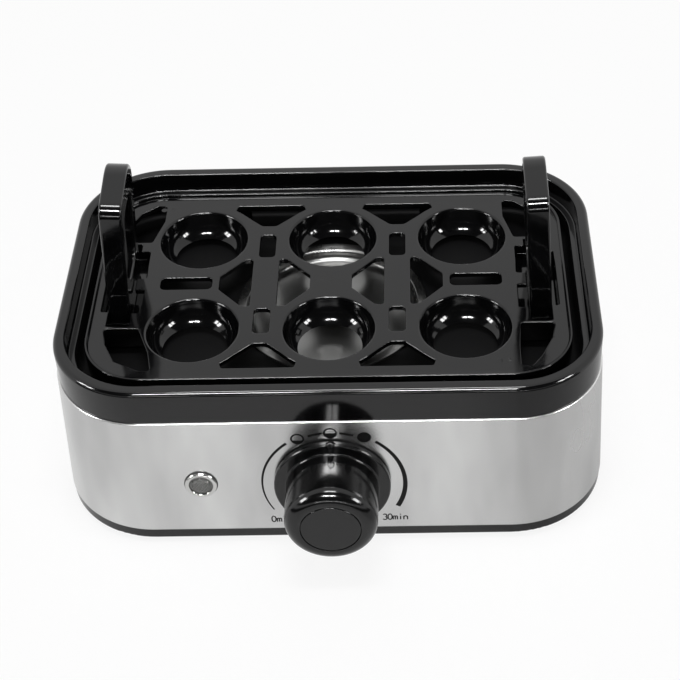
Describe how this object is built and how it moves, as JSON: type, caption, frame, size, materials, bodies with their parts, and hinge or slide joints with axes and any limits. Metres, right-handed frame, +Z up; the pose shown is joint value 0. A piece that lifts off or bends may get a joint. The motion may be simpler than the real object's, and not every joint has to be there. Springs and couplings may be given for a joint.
{
  "type": "electric egg cooker",
  "caption": "Countertop egg cooker: black water pan and rim on a flared steel band, lift-out egg tray with upright handles, heating plate and a front dial timer with a pilot lamp.",
  "frame": {"origin": "on the table, under the middle of the whole cooker with its knob", "axes": "+X to the user's right along the long side, -Y towards the dial and the user, +Z up"},
  "size_m": [0.2592, 0.2044, 0.1516],
  "materials": {
    "black_gloss": "moulded black, high gloss",
    "satin_steel": "satin stainless sheet",
    "polished_steel": "polished stainless",
    "black_rubber": "matt black",
    "zinc_steel": "zinc plated steel",
    "aluminium": "mill finish",
    "brass": "plain brass",
    "clear_lens": "clear moulded lens with a hexagon texture",
    "neon_glass": "neon lamp glass",
    "white_plastic": "natural white",
    "brown_lead": "brown insulation",
    "blue_lead": "blue insulation",
    "green_lead": "green and yellow insulation"
  },
  "bodies": {
    "cooker_body": {"top_frame": "black_gloss", "steel_band": "satin_steel", "band_back_panel": "satin_steel", "base_tray": "black_gloss", "rubber_feet": "black_rubber", "base_screws": "zinc_steel", "heating_plate": "polished_steel", "plate_seal": "black_rubber", "plate_clamp_ring": "zinc_steel", "clamp_nuts": "zinc_steel", "heat_spreader": "aluminium", "heating_element": "aluminium", "element_beads": "white_plastic", "element_terminals": "brass", "thermostat": "white_plastic", "thermostat_strap": "zinc_steel", "earth_tag": "brass", "timer_front_plate": "zinc_steel", "timer_case": "zinc_steel", "timer_screws": "zinc_steel", "timer_bell": "polished_steel", "timer_bell_post": "zinc_steel", "timer_striker": "zinc_steel", "lamp_bezel": "polished_steel", "lamp_lens": "clear_lens", "lamp_nut": "black_gloss", "neon_lamp": "neon_glass", "lamp_holder": "white_plastic", "cord_gland": "black_gloss", "cord_gland_nut": "black_gloss", "terminal_block": "white_plastic", "terminal_screws": "brass", "cord_clamp": "black_gloss", "cord_clamp_screws": "zinc_steel", "lead_live": "brown_lead", "lead_switched": "brown_lead", "lead_heater": "white_plastic", "lead_fuse": "blue_lead", "thermal_fuse": "white_plastic", "lead_neutral": "blue_lead", "lead_earth": "green_lead", "lamp_leads": "brown_lead"},
    "egg_tray_body": {"egg_tray": "black_gloss", "handle_left": "black_gloss", "handle_right": "black_gloss", "handle_screws": "zinc_steel"},
    "dial_body": {"knob": "black_gloss", "knob_cap": "black_gloss", "knob_spring_clip": "zinc_steel", "timer_shaft": "zinc_steel", "timer_main_wheel": "brass", "timer_spring_barrel": "zinc_steel"},
    "pinion_body": {"timer_pinion": "brass"}
  },
  "joints": [
    {"name": "tray_lift", "type": "slide", "parent": "cooker_body", "child": "egg_tray_body", "axis": [0, 0, 1], "range_m": [0, 0.12]},
    {"name": "dial_turn", "type": "hinge", "parent": "cooker_body", "child": "dial_body", "pos_m": [0.001, -0.07157, 0.039], "axis": [0, 0.9989, -0.0459], "range_deg": [-135, 135]},
    {"name": "pinion_turn", "type": "hinge", "parent": "cooker_body", "child": "pinion_body", "pos_m": [0.001, -0.0723, 0.02302], "axis": [0, 0.9989, -0.0459], "range_deg": [-545, 545]}
  ],
  "couplings": [
    {"joint": "pinion_turn", "follows": "dial_turn", "ratio": -4}
  ]
}
